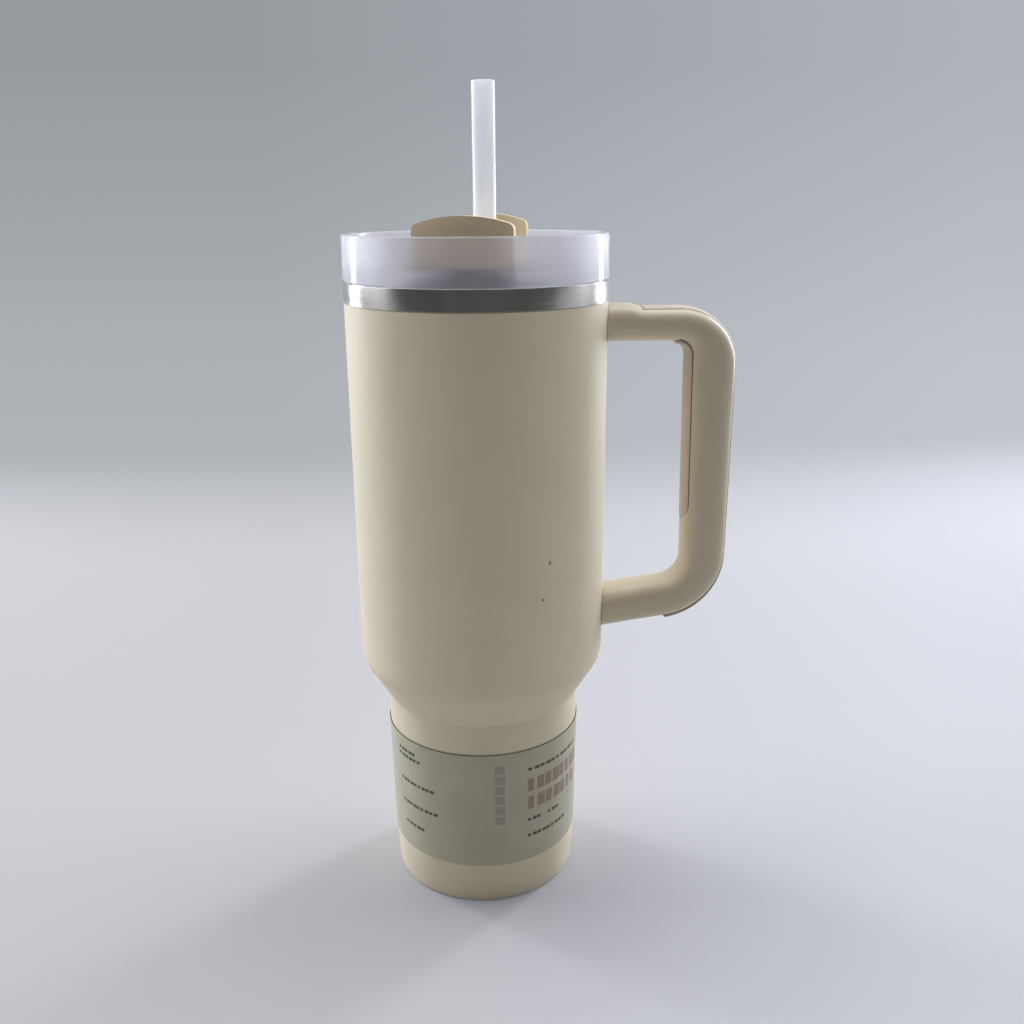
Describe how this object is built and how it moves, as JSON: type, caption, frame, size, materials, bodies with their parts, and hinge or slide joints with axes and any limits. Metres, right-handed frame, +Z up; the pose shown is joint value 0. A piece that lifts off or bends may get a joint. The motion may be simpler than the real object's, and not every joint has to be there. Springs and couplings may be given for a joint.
{
  "type": "insulated tumbler with handle, lid and straw",
  "caption": "Insulated steel tumbler with a carrying handle, press-in lid with a turning cover, and a straw.",
  "frame": {"origin": "centre of the foot, on the surface that the tumbler stands on", "axes": "+Z up along the tumbler's axis, +X towards the handle"},
  "size_m": [0.1483, 0.0986, 0.3124],
  "materials": {
    "cream_coat": "matt powder coat",
    "brushed_steel": "brushed round the axis",
    "dull_steel": "plain",
    "seal_glass": "fused bead",
    "sage_paper": "matt",
    "cream_plastic": "satin",
    "tan_grip": "soft touch",
    "clear_plastic": "milky clear",
    "silicone": "translucent",
    "straw_plastic": "milky clear"
  },
  "bodies": {
    "cup": {"outer_shell": "cream_coat", "inner_vessel": "brushed_steel", "base_plate": "brushed_steel", "getter_capsule": "dull_steel", "vacuum_seal_bead": "seal_glass", "paper_sleeve": "sage_paper", "handle_frame": "cream_plastic", "inner_grip_insert": "tan_grip", "outer_grip_insert": "tan_grip", "upper_handle_bracket": "dull_steel", "lower_handle_bracket": "dull_steel", "handle_washers": "dull_steel", "handle_screws": "dull_steel"},
    "lid": {"lid_body": "clear_plastic", "lid_gasket": "silicone", "pivot_oring": "silicone", "straw_grommet": "silicone"},
    "cover": {"rotating_cover": "cream_plastic", "cover_seal": "silicone", "pivot_clip": "dull_steel"},
    "straw": {"straw": "straw_plastic"}
  },
  "joints": [
    {"name": "lid_lift", "type": "slide", "parent": "cup", "child": "lid", "axis": [0, 0, 1], "range_m": [0, 0.26]},
    {"name": "cover_turn", "type": "hinge", "parent": "lid", "child": "cover", "pos_m": [0, 0, 0.2524], "axis": [0, 0, 1], "range_deg": [-80, 0]},
    {"name": "straw_pull", "type": "slide", "parent": "lid", "child": "straw", "axis": [0, 0, 1], "range_m": [0, 0.27]}
  ]
}
